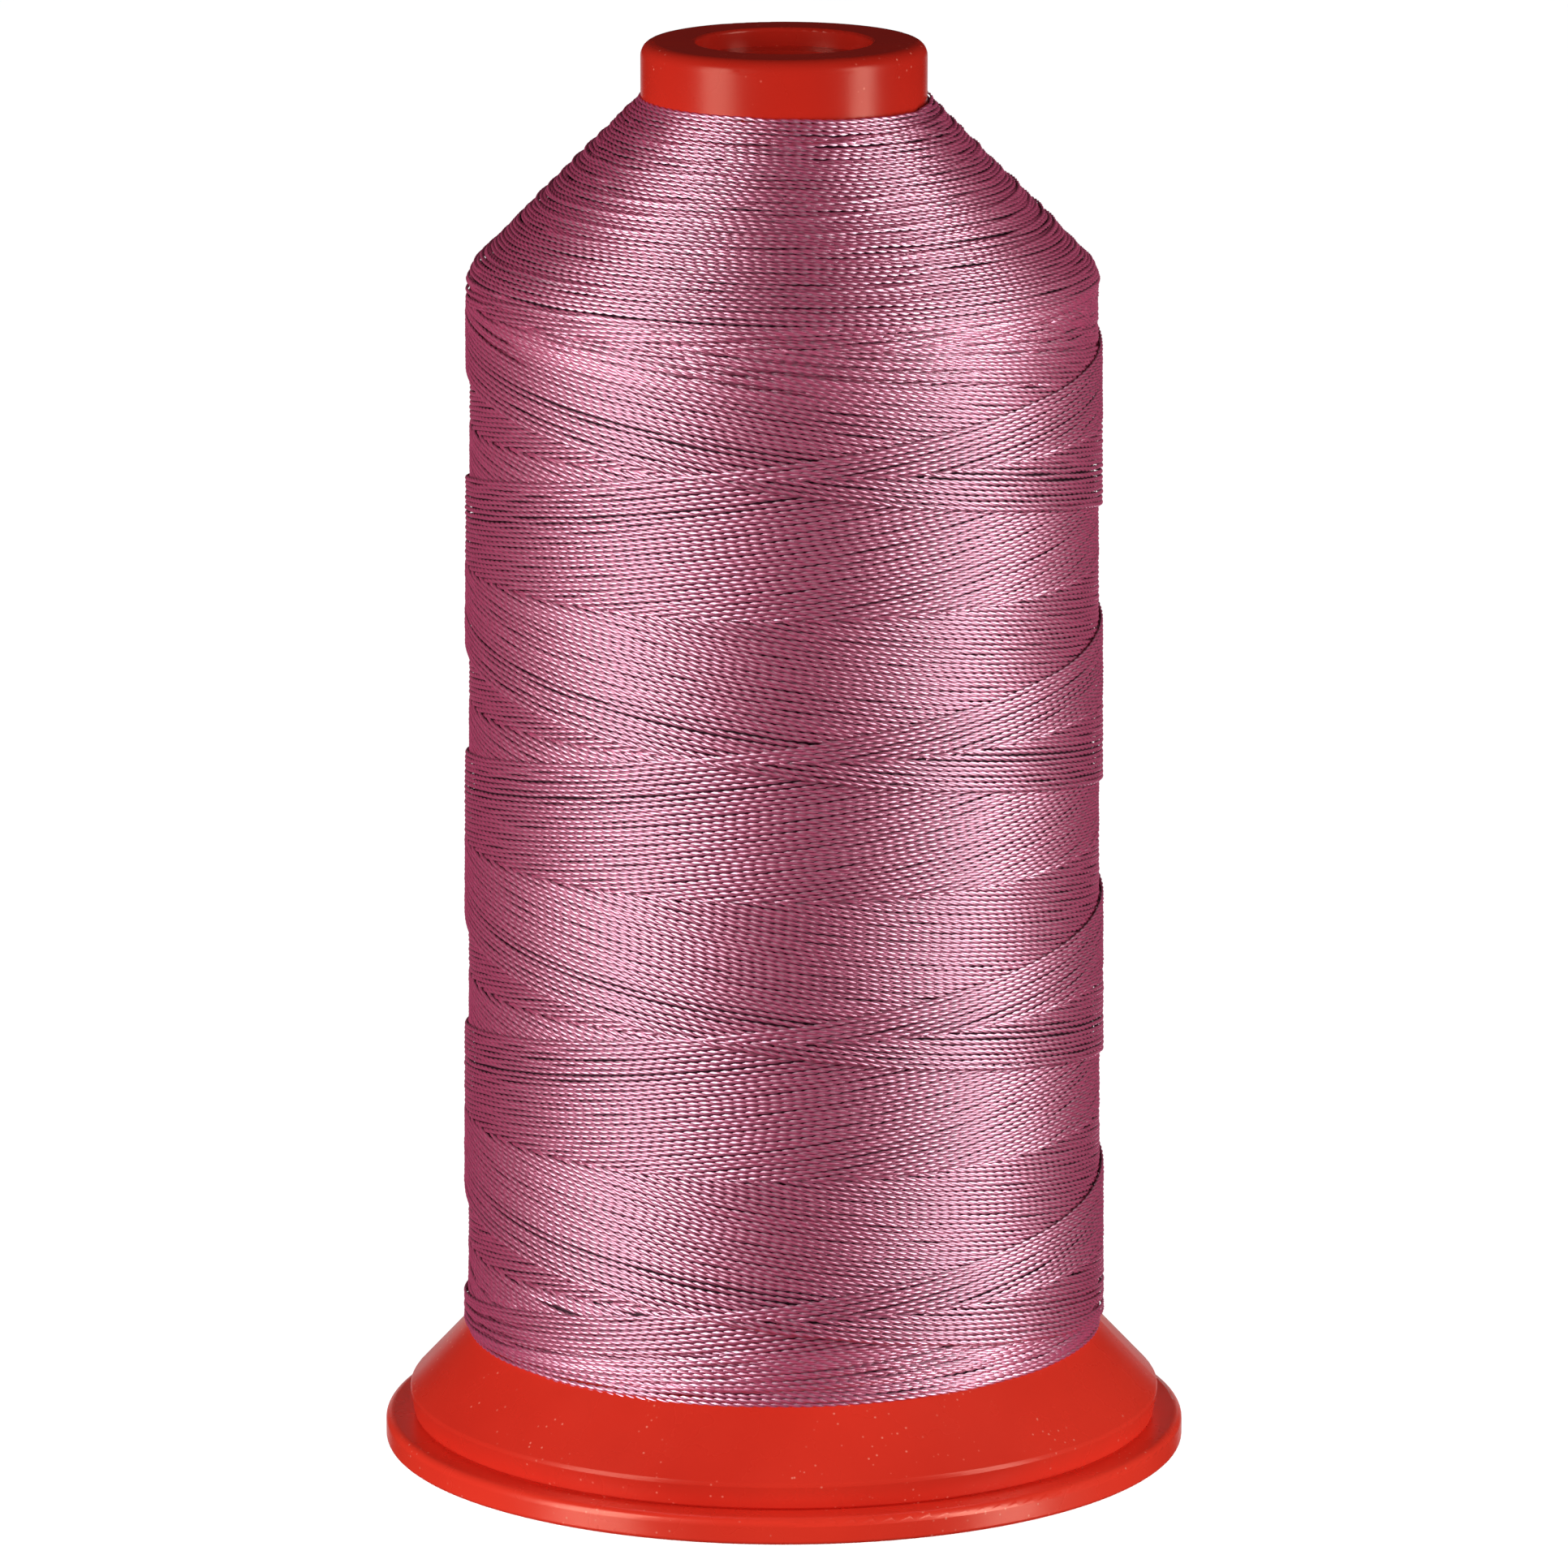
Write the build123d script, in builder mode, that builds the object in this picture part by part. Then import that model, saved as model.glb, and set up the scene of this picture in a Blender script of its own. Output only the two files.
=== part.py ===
"""Foot spool of sewing thread, with a base that snaps open to hold the thread's tail.

Millimetres, +Z up. The origin is the middle of the face that the spool stands on.
"""

import os
from math import hypot

from build123d import *

# Driving dimensions: upper moulding
HEIGHT = 102.0
BARREL_RADIUS = 10.15
BARREL_WALL = 1.6
BARREL_BOTTOM = 5.0
COLLAR_EDGE = 1.0
RECESS_RADIUS = 6.25
RECESS_DEPTH = 1.3
RECESS_EDGE = 0.25
SPINDLE_RADIUS = 4.0
HUB_WALL = 1.3
TOP_HUB_LENGTH = 7.0
WEB_THICKNESS = 1.6

# Skirt: the cone that the winding rests on, and the short band below its lip
LIP_RADIUS = 27.15
LIP_HEIGHT = 3.85
SKIRT_FLARE = 0.935
SKIRT_WALL = 1.5
BAND_FOOT_RADIUS = 26.85
BAND_WALL = 1.5
BAND_CHAMFER = 0.2
LIP_EDGE = 0.35
RIB_COUNT = 6
RIB_THICKNESS = 1.0
RIB_FOOT = 6.0
RIB_RADIUS = 19.0

# Lower moulding
FOOT_RADIUS = 28.9
FOOT_THICKNESS = 1.95
FOOT_EDGE = 0.6
FOOT_HEEL = 0.3
UNDERSIDE_RECESS = 0.8
STANDING_RING = 1.6
PLUG_TOP = 17.0
PLUG_WALL = 1.4
PLUG_CHAMFER = 0.5
BASE_HUB_TOP = 6.0
BASE_TRAVEL = 3.0
BEAD_BOTTOM = 11.0
BEAD_LENGTH = 1.2
BEAD_HEIGHT = 0.5
FINGER_SLOTS = 4
FINGER_SLOT_WIDTH = 1.2
FINGER_SLOT_BOTTOM = 4.0
UPSTAND_WALL = 1.1
UPSTAND_HEIGHT = 1.3
RUNNING_CLEARANCE = 0.1
FREE_CLEARANCE = 0.3

# Winding
WINDING_TOP = 97.95
WINDING_TOP_RADIUS = 10.5
SHOULDER_RADIUS = 22.5
SHOULDER_HEIGHT = 85.7
SHOULDER_EDGE = 0.8
WINDING_FOOT_RADIUS = 23.1

# Paper label under the base
LABEL_RADIUS = 22.0
LABEL_HOLE_RADIUS = 9.5
LABEL_THICKNESS = 0.15

# Derived dimensions
bore_radius = BARREL_RADIUS - BARREL_WALL
plug_radius = bore_radius - RUNNING_CLEARANCE
bead_radius = plug_radius + BEAD_HEIGHT
relief_radius = bead_radius + FREE_CLEARANCE
relief_bottom = BEAD_BOTTOM - BASE_TRAVEL - FREE_CLEARANCE
relief_top = BEAD_BOTTOM + BEAD_LENGTH + FREE_CLEARANCE
hub_radius = SPINDLE_RADIUS + HUB_WALL
recess_floor = HEIGHT - RECESS_DEPTH
skirt_shift = SKIRT_WALL * hypot(1, SKIRT_FLARE)
band_bore = BAND_FOOT_RADIUS - BAND_WALL
upstand_radius = band_bore - FREE_CLEARANCE


def skirt_height(radius, shift=0.0):
    """Height, at a radius, of the skirt's outer cone moved inwards by shift."""
    return LIP_HEIGHT + (LIP_RADIUS - shift - radius) / SKIRT_FLARE


# Upper moulding: collar, barrel, skirt and the band that nips the thread's tail
with BuildPart() as spool_body:
    with BuildSketch(Plane.XZ):
        with BuildLine():
            Polyline(
                (bore_radius, BARREL_BOTTOM),
                (BARREL_RADIUS, BARREL_BOTTOM),
                (BARREL_RADIUS, skirt_height(BARREL_RADIUS, skirt_shift)),
                (band_bore, skirt_height(band_bore, skirt_shift)),
                (band_bore, FOOT_THICKNESS),
                (BAND_FOOT_RADIUS - BAND_CHAMFER, FOOT_THICKNESS),
                (BAND_FOOT_RADIUS, FOOT_THICKNESS + BAND_CHAMFER),
                (LIP_RADIUS, LIP_HEIGHT),
                (BARREL_RADIUS, skirt_height(BARREL_RADIUS)),
                (BARREL_RADIUS, HEIGHT),
                (RECESS_RADIUS, HEIGHT),
                (RECESS_RADIUS, recess_floor),
                (SPINDLE_RADIUS, recess_floor),
                (SPINDLE_RADIUS, recess_floor - TOP_HUB_LENGTH),
                (hub_radius, recess_floor - TOP_HUB_LENGTH),
                (hub_radius, recess_floor - WEB_THICKNESS),
                (bore_radius, recess_floor - WEB_THICKNESS),
                close=True,
            )
        make_face()
    revolve(axis=Axis.Z)
    # Relief in the barrel, in which the plug's bead travels
    with BuildSketch(Plane.XY.offset(relief_bottom)):
        Circle(relief_radius)
    extrude(amount=relief_top - relief_bottom, mode=Mode.SUBTRACT)
    # Ribs that stiffen the skirt from inside
    for index in range(RIB_COUNT):
        rib_plane = Plane.XZ.rotated((0, 0, 360 / RIB_COUNT * (index + 0.5)))
        with BuildSketch(rib_plane):
            with BuildLine():
                Polyline(
                    (BARREL_RADIUS - BARREL_WALL / 4, RIB_FOOT),
                    (RIB_RADIUS, RIB_FOOT),
                    (RIB_RADIUS, skirt_height(RIB_RADIUS, skirt_shift / 2)),
                    (BARREL_RADIUS - BARREL_WALL / 4, skirt_height(BARREL_RADIUS, skirt_shift / 2)),
                    close=True,
                )
            make_face()
        extrude(amount=RIB_THICKNESS / 2, both=True)
    top_circles = spool_body.edges().filter_by(GeomType.CIRCLE).group_by(Axis.Z)[-1]
    fillet(top_circles.sort_by(SortBy.RADIUS)[-1], COLLAR_EDGE)
    top_circles = spool_body.edges().filter_by(GeomType.CIRCLE).group_by(Axis.Z)[-1]
    fillet(top_circles.sort_by(SortBy.RADIUS)[0], RECESS_EDGE)
    lip_circles = spool_body.edges().filter_by(GeomType.CIRCLE).sort_by(SortBy.RADIUS)
    fillet(lip_circles[-1], LIP_EDGE)
spool_body.part.label = "spool_body"

# Lower moulding: rounded foot, floor with the spindle's hub, and the split plug
with BuildPart() as snap_base:
    with BuildSketch(Plane.XZ):
        with BuildLine():
            Polyline(
                (SPINDLE_RADIUS, UNDERSIDE_RECESS),
                (FOOT_RADIUS - STANDING_RING, UNDERSIDE_RECESS),
                (FOOT_RADIUS - STANDING_RING, 0),
                (FOOT_RADIUS, 0),
                (FOOT_RADIUS, FOOT_THICKNESS),
                (upstand_radius, FOOT_THICKNESS),
                (upstand_radius, FOOT_THICKNESS + UPSTAND_HEIGHT),
                (upstand_radius - UPSTAND_WALL, FOOT_THICKNESS + UPSTAND_HEIGHT),
                (upstand_radius - UPSTAND_WALL, FOOT_THICKNESS),
                (plug_radius, FOOT_THICKNESS),
                (plug_radius, BEAD_BOTTOM),
                (bead_radius, BEAD_BOTTOM + BEAD_LENGTH / 3),
                (bead_radius, BEAD_BOTTOM + BEAD_LENGTH * 2 / 3),
                (plug_radius, BEAD_BOTTOM + BEAD_LENGTH),
                (plug_radius, PLUG_TOP - PLUG_CHAMFER),
                (plug_radius - PLUG_CHAMFER, PLUG_TOP),
                (plug_radius - PLUG_WALL, PLUG_TOP),
                (plug_radius - PLUG_WALL, FOOT_THICKNESS),
                (hub_radius, FOOT_THICKNESS),
                (hub_radius, BASE_HUB_TOP),
                (SPINDLE_RADIUS, BASE_HUB_TOP),
                close=True,
            )
        make_face()
    revolve(axis=Axis.Z)
    # Slots that split the plug into springy fingers
    with BuildSketch(Plane.XY.offset(FINGER_SLOT_BOTTOM)):
        for index in range(FINGER_SLOTS // 2):
            Rectangle(2 * relief_radius, FINGER_SLOT_WIDTH, rotation=360 / FINGER_SLOTS * index)
        Circle(plug_radius - PLUG_WALL - FREE_CLEARANCE, mode=Mode.SUBTRACT)
    extrude(amount=PLUG_TOP, mode=Mode.SUBTRACT)
    foot_circles = snap_base.edges().filter_by(GeomType.CIRCLE).sort_by(SortBy.RADIUS)[-2:]
    foot_circles = foot_circles.sort_by(Axis.Z)
    fillet(foot_circles[-1], FOOT_EDGE)
    foot_circles = snap_base.edges().filter_by(GeomType.CIRCLE).group_by(Axis.Z)[0]
    fillet(foot_circles.sort_by(SortBy.RADIUS)[-1], FOOT_HEEL)
snap_base.part.label = "snap_base"

# Winding: a closed ring between the barrel, the skirt and the sloping shoulder
with BuildPart() as thread_package:
    with BuildSketch(Plane.XZ):
        with BuildLine():
            Polyline(
                (BARREL_RADIUS, skirt_height(BARREL_RADIUS)),
                (WINDING_FOOT_RADIUS, skirt_height(WINDING_FOOT_RADIUS)),
                (SHOULDER_RADIUS, SHOULDER_HEIGHT),
                (WINDING_TOP_RADIUS, WINDING_TOP),
                (BARREL_RADIUS, WINDING_TOP),
                close=True,
            )
        make_face()
    revolve(axis=Axis.Z)
    shoulder = thread_package.edges().filter_by(GeomType.CIRCLE)
    shoulder = shoulder.filter_by(lambda edge: abs(edge.radius - SHOULDER_RADIUS) < FREE_CLEARANCE)
    fillet(shoulder, SHOULDER_EDGE)
thread_package.part.label = "thread_package"

# Blank label, stuck to the floor's underside and clear of the standing face
with BuildPart() as base_label:
    with BuildSketch(Plane.XY.offset(UNDERSIDE_RECESS - LABEL_THICKNESS)):
        Circle(LABEL_RADIUS)
        Circle(LABEL_HOLE_RADIUS, mode=Mode.SUBTRACT)
    extrude(amount=LABEL_THICKNESS)
base_label.part.label = "base_label"

os.makedirs("parts", exist_ok=True)
export_step(spool_body.part, "parts/spool_body.step")
export_step(snap_base.part, "parts/snap_base.step")
export_step(thread_package.part, "parts/thread_package.step")
export_step(base_label.part, "parts/base_label.step")
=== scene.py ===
"""Foot spool of sewing thread: cross-wound thread on a glossy red spool with a snap base.

Metres, +Z up. The spool stands at the origin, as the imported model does.
"""

import logging
import math
from collections.abc import Iterator
from dataclasses import dataclass, field
from enum import Enum

import bpy
import numpy as np
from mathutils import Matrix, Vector


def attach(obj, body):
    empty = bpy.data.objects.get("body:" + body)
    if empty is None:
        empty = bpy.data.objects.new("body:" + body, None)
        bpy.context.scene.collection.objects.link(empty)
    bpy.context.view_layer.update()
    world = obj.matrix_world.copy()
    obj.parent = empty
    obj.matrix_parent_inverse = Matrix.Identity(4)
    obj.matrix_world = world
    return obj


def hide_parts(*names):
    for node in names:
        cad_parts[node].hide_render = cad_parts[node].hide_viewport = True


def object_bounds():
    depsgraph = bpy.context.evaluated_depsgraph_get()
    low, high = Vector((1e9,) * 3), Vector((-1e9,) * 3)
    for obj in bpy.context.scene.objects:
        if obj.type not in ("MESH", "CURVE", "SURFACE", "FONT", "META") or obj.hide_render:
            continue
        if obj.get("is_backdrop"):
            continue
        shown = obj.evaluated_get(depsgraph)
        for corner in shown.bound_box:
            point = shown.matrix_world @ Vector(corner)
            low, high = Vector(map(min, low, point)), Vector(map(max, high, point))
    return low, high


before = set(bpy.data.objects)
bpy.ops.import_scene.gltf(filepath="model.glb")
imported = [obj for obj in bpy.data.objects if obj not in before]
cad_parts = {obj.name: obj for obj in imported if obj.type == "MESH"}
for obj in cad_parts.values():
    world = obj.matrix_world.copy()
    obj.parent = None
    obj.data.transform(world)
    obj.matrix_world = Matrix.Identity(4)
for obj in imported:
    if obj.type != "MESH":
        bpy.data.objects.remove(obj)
cad_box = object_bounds()

MM = 0.001
Colour = tuple[float, float, float]
Socket = bpy.types.NodeSocket
WHITE: Colour = (1.0, 1.0, 1.0)
BLACK: Colour = (0.0, 0.0, 0.0)
log = logging.getLogger("spool")


class Lay(Enum):
    """The way a pass of thread climbs as it goes round to the right."""

    RISING = 1
    FALLING = -1


# --------------------------------------------------------------------------- finishes


@dataclass(frozen=True)
class NodeKit:
    """Short calls for a material's node tree."""

    tree: bpy.types.NodeTree

    def add(self, kind: str, **settings: object) -> bpy.types.Node:
        """Adds a node.

        Args:
            kind: the node's type name, without its ShaderNode start.
            settings: properties of the node.

        Returns:
            The new node.
        """
        node = self.tree.nodes.new("ShaderNode" + kind)
        for name, value in settings.items():
            setattr(node, name, value)
        return node

    def link(self, source: Socket, target: Socket) -> None:
        """Joins two sockets.

        Args:
            source: the output to read.
            target: the input to feed.
        """
        self.tree.links.new(source, target)

    def noise(self, vector: Socket, scale: float, detail: float = 2.0) -> Socket:
        """Adds a noise pattern on the given coordinates.

        Args:
            vector: coordinates in metres.
            scale: repeats per metre.
            detail: octaves.

        Returns:
            The pattern's value socket.
        """
        node = self.add("TexNoise")
        node.inputs["Scale"].default_value = scale
        node.inputs["Detail"].default_value = detail
        self.link(vector, node.inputs["Vector"])
        return node.outputs["Fac"]

    def ramp(self, value: Socket, stops: list[tuple[float, Colour]]) -> Socket:
        """Turns a value into a colour.

        Args:
            value: the socket that drives the ramp.
            stops: places from 0 to 1, each with its colour.

        Returns:
            The colour socket.
        """
        node = self.add("ValToRGB")
        elements = node.color_ramp.elements
        while len(elements) < len(stops):
            elements.new(0.5)
        for element, (place, colour) in zip(elements, stops):
            element.position = place
            element.color = (*colour, 1.0)
        self.link(value, node.inputs["Fac"])
        return node.outputs["Color"]

    def compute(self, operation: str, *values: Socket | float) -> Socket:
        """Works out one step of arithmetic.

        Args:
            operation: the Math node's operation.
            values: its one or two terms, each a socket or a number.

        Returns:
            The result's socket.
        """
        node = self.add("Math", operation=operation)
        for term, value in zip(node.inputs, values):
            if isinstance(value, float):
                term.default_value = value
            else:
                self.link(value, term)
        return node.outputs["Value"]

    def spread(self, value: Socket, low: float, high: float) -> Socket:
        """Maps a value from 0 to 1 onto another range.

        Args:
            value: the socket to read.
            low: the result at 0.
            high: the result at 1.

        Returns:
            The result's socket.
        """
        node = self.add("MapRange")
        node.inputs["To Min"].default_value = low
        node.inputs["To Max"].default_value = high
        self.link(value, node.inputs["Value"])
        return node.outputs["Result"]

    def blend(
        self,
        factor: Socket | float,
        first: Socket | Colour,
        second: Socket | Colour,
        how: str = "MIX",
    ) -> Socket:
        """Blends two colours.

        Args:
            factor: how far to go to the blended result, a socket or a number.
            first: the lower colour.
            second: the upper colour.
            how: the Mix node's blend type.

        Returns:
            The colour socket.
        """
        node = self.add("Mix", data_type="RGBA", blend_type=how)
        for name, value in (("Factor", factor), ("A", first), ("B", second)):
            if isinstance(value, float):
                node.inputs[name].default_value = value
            elif isinstance(value, tuple):
                node.inputs[name].default_value = (*value, 1.0)
            else:
                self.link(value, node.inputs[name])
        return node.outputs["Result"]

    def stretched(self, vector: Socket, scale: Colour) -> Socket:
        """Scales coordinates along each axis.

        Args:
            vector: the coordinates.
            scale: the factor for each axis.

        Returns:
            The scaled coordinates' socket.
        """
        node = self.add("Mapping")
        node.inputs["Scale"].default_value = scale
        self.link(vector, node.inputs["Vector"])
        return node.outputs["Vector"]

    def roughen(self, shader: bpy.types.Node, height: Socket, strength: float, distance: float) -> None:
        """Gives a shader a bumpy surface.

        Args:
            shader: the material's shader.
            height: the pattern of the bumps.
            strength: how strong they are, from 0 to 1.
            distance: how high they are, in metres.
        """
        node = self.add("Bump")
        node.inputs["Strength"].default_value = strength
        node.inputs["Distance"].default_value = distance
        self.link(height, node.inputs["Height"])
        self.link(node.outputs["Normal"], shader.inputs["Normal"])


def new_material(name: str) -> tuple[bpy.types.Material, NodeKit, bpy.types.Node]:
    """Makes a material with one Principled shader.

    Args:
        name: the material's name.

    Returns:
        The material, its node kit and its shader node.
    """
    material = bpy.data.materials.new(name)
    material.use_nodes = True
    kit = NodeKit(material.node_tree)
    return material, kit, material.node_tree.nodes["Principled BSDF"]


@dataclass(frozen=True)
class RedPlastic:
    """Glossy injection-moulded red, a little dusty."""

    name: str
    colour: Colour = (0.715, 0.035, 0.018)
    deep: Colour = (0.615, 0.025, 0.013)
    # painted shade: the darkening laid over the collar, above collar_shade_height
    collar_shade: Colour = (0.76, 0.62, 0.62)
    collar_shade_height: float = 92.0 * MM
    speck: Colour = (0.85, 0.20, 0.14)
    tint: Colour = (1.0, 0.60, 0.46)
    shine: float = 0.31
    roughness: float = 0.27
    smear: float = 0.08
    cloud_scale: float = 60.0
    speck_scale: float = 1500.0
    patch_scale: float = 230.0
    smear_scale: float = 180.0
    grain_scale: float = 900.0
    grain_strength: float = 0.06
    grain_height: float = 0.1 * MM

    def build(self) -> bpy.types.Material:
        """Returns the material."""
        material, kit, shader = new_material(self.name)
        place = kit.add("TexCoord").outputs["Object"]
        cloud = kit.noise(place, self.cloud_scale, 3.0)
        base = self.painted_collar_shade(kit, place, kit.ramp(cloud, [(0.3, self.deep), (0.7, self.colour)]))
        dusty = kit.blend(self.dust(kit, place), base, self.speck)
        kit.link(dusty, shader.inputs["Base Color"])
        smear = kit.noise(place, self.smear_scale, 4.0)
        rough = kit.spread(smear, self.roughness - self.smear, self.roughness + self.smear)
        kit.link(rough, shader.inputs["Roughness"])
        grain = kit.noise(place, self.grain_scale, 3.0)
        kit.roughen(shader, grain, self.grain_strength, self.grain_height)
        shader.inputs["Specular IOR Level"].default_value = self.shine
        shader.inputs["Specular Tint"].default_value = (*self.tint, 1.0)
        return material

    def dust(self, kit: NodeKit, place: Socket) -> Socket:
        """Scatters fine specks in patches.

        Args:
            kit: the material's nodes.
            place: the object's coordinates.

        Returns:
            A colour socket, white in the specks and black between them.
        """
        specks = kit.add("TexVoronoi")
        specks.inputs["Scale"].default_value = self.speck_scale
        kit.link(place, specks.inputs["Vector"])
        dots = kit.ramp(specks.outputs["Distance"], [(0.06, WHITE), (0.16, BLACK)])
        patches = kit.ramp(kit.noise(place, self.patch_scale, 0.0), [(0.53, BLACK), (0.62, WHITE)])
        return kit.blend(1.0, dots, patches, "MULTIPLY")

    def painted_collar_shade(self, kit: NodeKit, place: Socket, colour: Socket) -> Socket:
        """Paints shade over the collar at the top: darkens the colour above a given height, for the
        dimmer light that falls there than on the lower walls.

        Args:
            kit: the material's nodes.
            place: the object's coordinates.
            colour: the colour below that height.

        Returns:
            The colour socket.
        """
        parts = kit.add("SeparateXYZ")
        kit.link(place, parts.inputs["Vector"])
        # painted shade: everything above the height is darkened
        high = kit.compute("GREATER_THAN", parts.outputs["Z"], self.collar_shade_height)
        return kit.blend(high, colour, self.collar_shade, "MULTIPLY")


@dataclass(frozen=True)
class Thread:
    """Satin mauve-pink polyester, with shade painted into its colour: darker in the grooves between
    plies and between strands.
    """

    name: str = "thread"
    light: Colour = (0.61, 0.046, 0.165)
    dark: Colour = (0.475, 0.030, 0.112)
    # painted shade: the colour put into the grooves between plies and between strands
    crevice_shade: Colour = (0.09, 0.005, 0.022)
    tint: Colour = (1.0, 0.63, 0.765)
    # painted shade: how far the grooves between plies are darkened
    groove: Colour = (0.24, 0.24, 0.24)
    roughness: float = 0.38
    sheen_level: float = 1.0
    sheen_index: float = 3.0
    fibre_scale: float = 9000.0
    fibre_stretch: Colour = (0.12, 1.0, 1.0)
    fibre_strength: float = 0.25
    fibre_height: float = 0.02 * MM

    def build(self) -> bpy.types.Material:
        """Returns the material."""
        material, kit, shader = new_material(self.name)
        place = kit.add("UVMap", uv_map=Strands.PATTERN_MAP).outputs["UV"]
        fibres = kit.noise(kit.stretched(place, self.fibre_stretch), self.fibre_scale)
        colour = kit.ramp(fibres, [(0.3, self.dark), (0.7, self.light)])
        shaded = kit.blend(self.painted_shade_mask(kit, place), self.crevice_shade, colour)
        kit.link(shaded, shader.inputs["Base Color"])
        rough = kit.spread(fibres, self.roughness - 0.06, self.roughness + 0.08)
        kit.link(rough, shader.inputs["Roughness"])
        kit.roughen(shader, fibres, self.fibre_strength, self.fibre_height)
        shader.inputs["Specular IOR Level"].default_value = self.sheen_level
        shader.inputs["Specular Tint"].default_value = (*self.tint, 1.0)
        shader.inputs["IOR"].default_value = self.sheen_index
        return material

    def painted_shade_mask(self, kit: NodeKit, place: Socket) -> Socket:
        """Tells the open crown of each ply from the grooves beside it and from the strand's edges, as a
        mask for painted shade.

        Args:
            kit: the material's nodes.
            place: the strand's pattern map.

        Returns:
            A value from 0 in a groove or at a strand's edge, where shade is painted in full, to 1 on a
            crown.
        """
        parts = kit.add("SeparateXYZ")
        kit.link(place, parts.inputs["Vector"])
        along = kit.compute("DIVIDE", parts.outputs["X"], Strands.ply_spacing())
        angle = kit.compute("DIVIDE", parts.outputs["Y"], Strands.radius)
        around = kit.compute("DIVIDE", angle, 2 * math.pi / Strands.plies)
        start = (Strands.columns // 2) / Strands.facets
        plies = kit.compute("ADD", kit.compute("ADD", along, around), start)
        crown = kit.compute("PINGPONG", plies, 0.5)
        # painted shade in the grooves between plies
        ply = kit.ramp(crown, [(0.02, self.groove), (0.26, WHITE)])
        outer = kit.compute("DIVIDE", kit.compute("ABSOLUTE", angle), Strands.half_width())
        # painted shade towards each strand's edges, where it meets its neighbours
        strand = kit.ramp(outer, [(0.48, WHITE), (0.90, BLACK)])
        return kit.compute("MULTIPLY", ply, strand)


@dataclass(frozen=True)
class WindingShade:
    """The lower turns, seen only as dark gaps between the strands, in painted shade: the thread's
    colour darkened to near black for the shadow in those gaps.
    """

    name: str = "winding_shade"
    # painted shade: both tones stand for thread lying in shadow
    light: Colour = (0.10, 0.012, 0.04)
    dark: Colour = (0.03, 0.004, 0.012)
    turn_scale: float = 900.0
    turn_stretch: Colour = (0.2, 0.2, 3.0)

    def build(self) -> bpy.types.Material:
        """Returns the material."""
        material, kit, shader = new_material(self.name)
        place = kit.add("TexCoord").outputs["Object"]
        turns = kit.noise(kit.stretched(place, self.turn_stretch), self.turn_scale)
        kit.link(kit.ramp(turns, [(0.35, self.dark), (0.7, self.light)]), shader.inputs["Base Color"])
        shader.inputs["Roughness"].default_value = 0.7
        return material


@dataclass(frozen=True)
class LabelPaper:
    """Blank off-white paper."""

    name: str = "label_paper"
    light: Colour = (0.80, 0.79, 0.75)
    dark: Colour = (0.70, 0.69, 0.64)
    fibre_scale: float = 1500.0
    fibre_height: float = 0.05 * MM

    def build(self) -> bpy.types.Material:
        """Returns the material."""
        material, kit, shader = new_material(self.name)
        place = kit.add("TexCoord").outputs["Object"]
        fibres = kit.noise(place, self.fibre_scale, 5.0)
        kit.link(kit.ramp(fibres, [(0.3, self.dark), (0.65, self.light)]), shader.inputs["Base Color"])
        kit.roughen(shader, fibres, 0.2, self.fibre_height)
        shader.inputs["Roughness"].default_value = 0.8
        return material


@dataclass(frozen=True)
class StudioFloor:
    """Plain pale floor that throws little light back up, and is clear from below."""

    name: str = "studio_floor"
    light: Colour = (0.22, 0.22, 0.22)
    dark: Colour = (0.20, 0.20, 0.20)
    glow: float = 1.0
    mottle_scale: float = 3.0

    def build(self) -> bpy.types.Material:
        """Returns the material."""
        material, kit, shader = new_material(self.name)
        seen = kit.add("LightPath").outputs["Is Camera Ray"]
        kit.link(kit.spread(seen, 0.0, self.glow), shader.inputs["Emission Strength"])
        shader.inputs["Emission Color"].default_value = (*WHITE, 1.0)
        place = kit.add("TexCoord").outputs["Object"]
        mottle = kit.ramp(kit.noise(place, self.mottle_scale), [(0.4, self.dark), (0.6, self.light)])
        kit.link(mottle, shader.inputs["Base Color"])
        shader.inputs["Roughness"].default_value = 0.85
        sides = kit.add("MixShader")
        kit.link(kit.add("NewGeometry").outputs["Backfacing"], sides.inputs["Fac"])
        kit.link(shader.outputs["BSDF"], sides.inputs[1])
        kit.link(kit.add("BsdfTransparent").outputs["BSDF"], sides.inputs[2])
        kit.link(sides.outputs["Shader"], kit.tree.nodes["Material Output"].inputs["Surface"])
        return material


# --------------------------------------------------------------------------- winding


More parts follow.
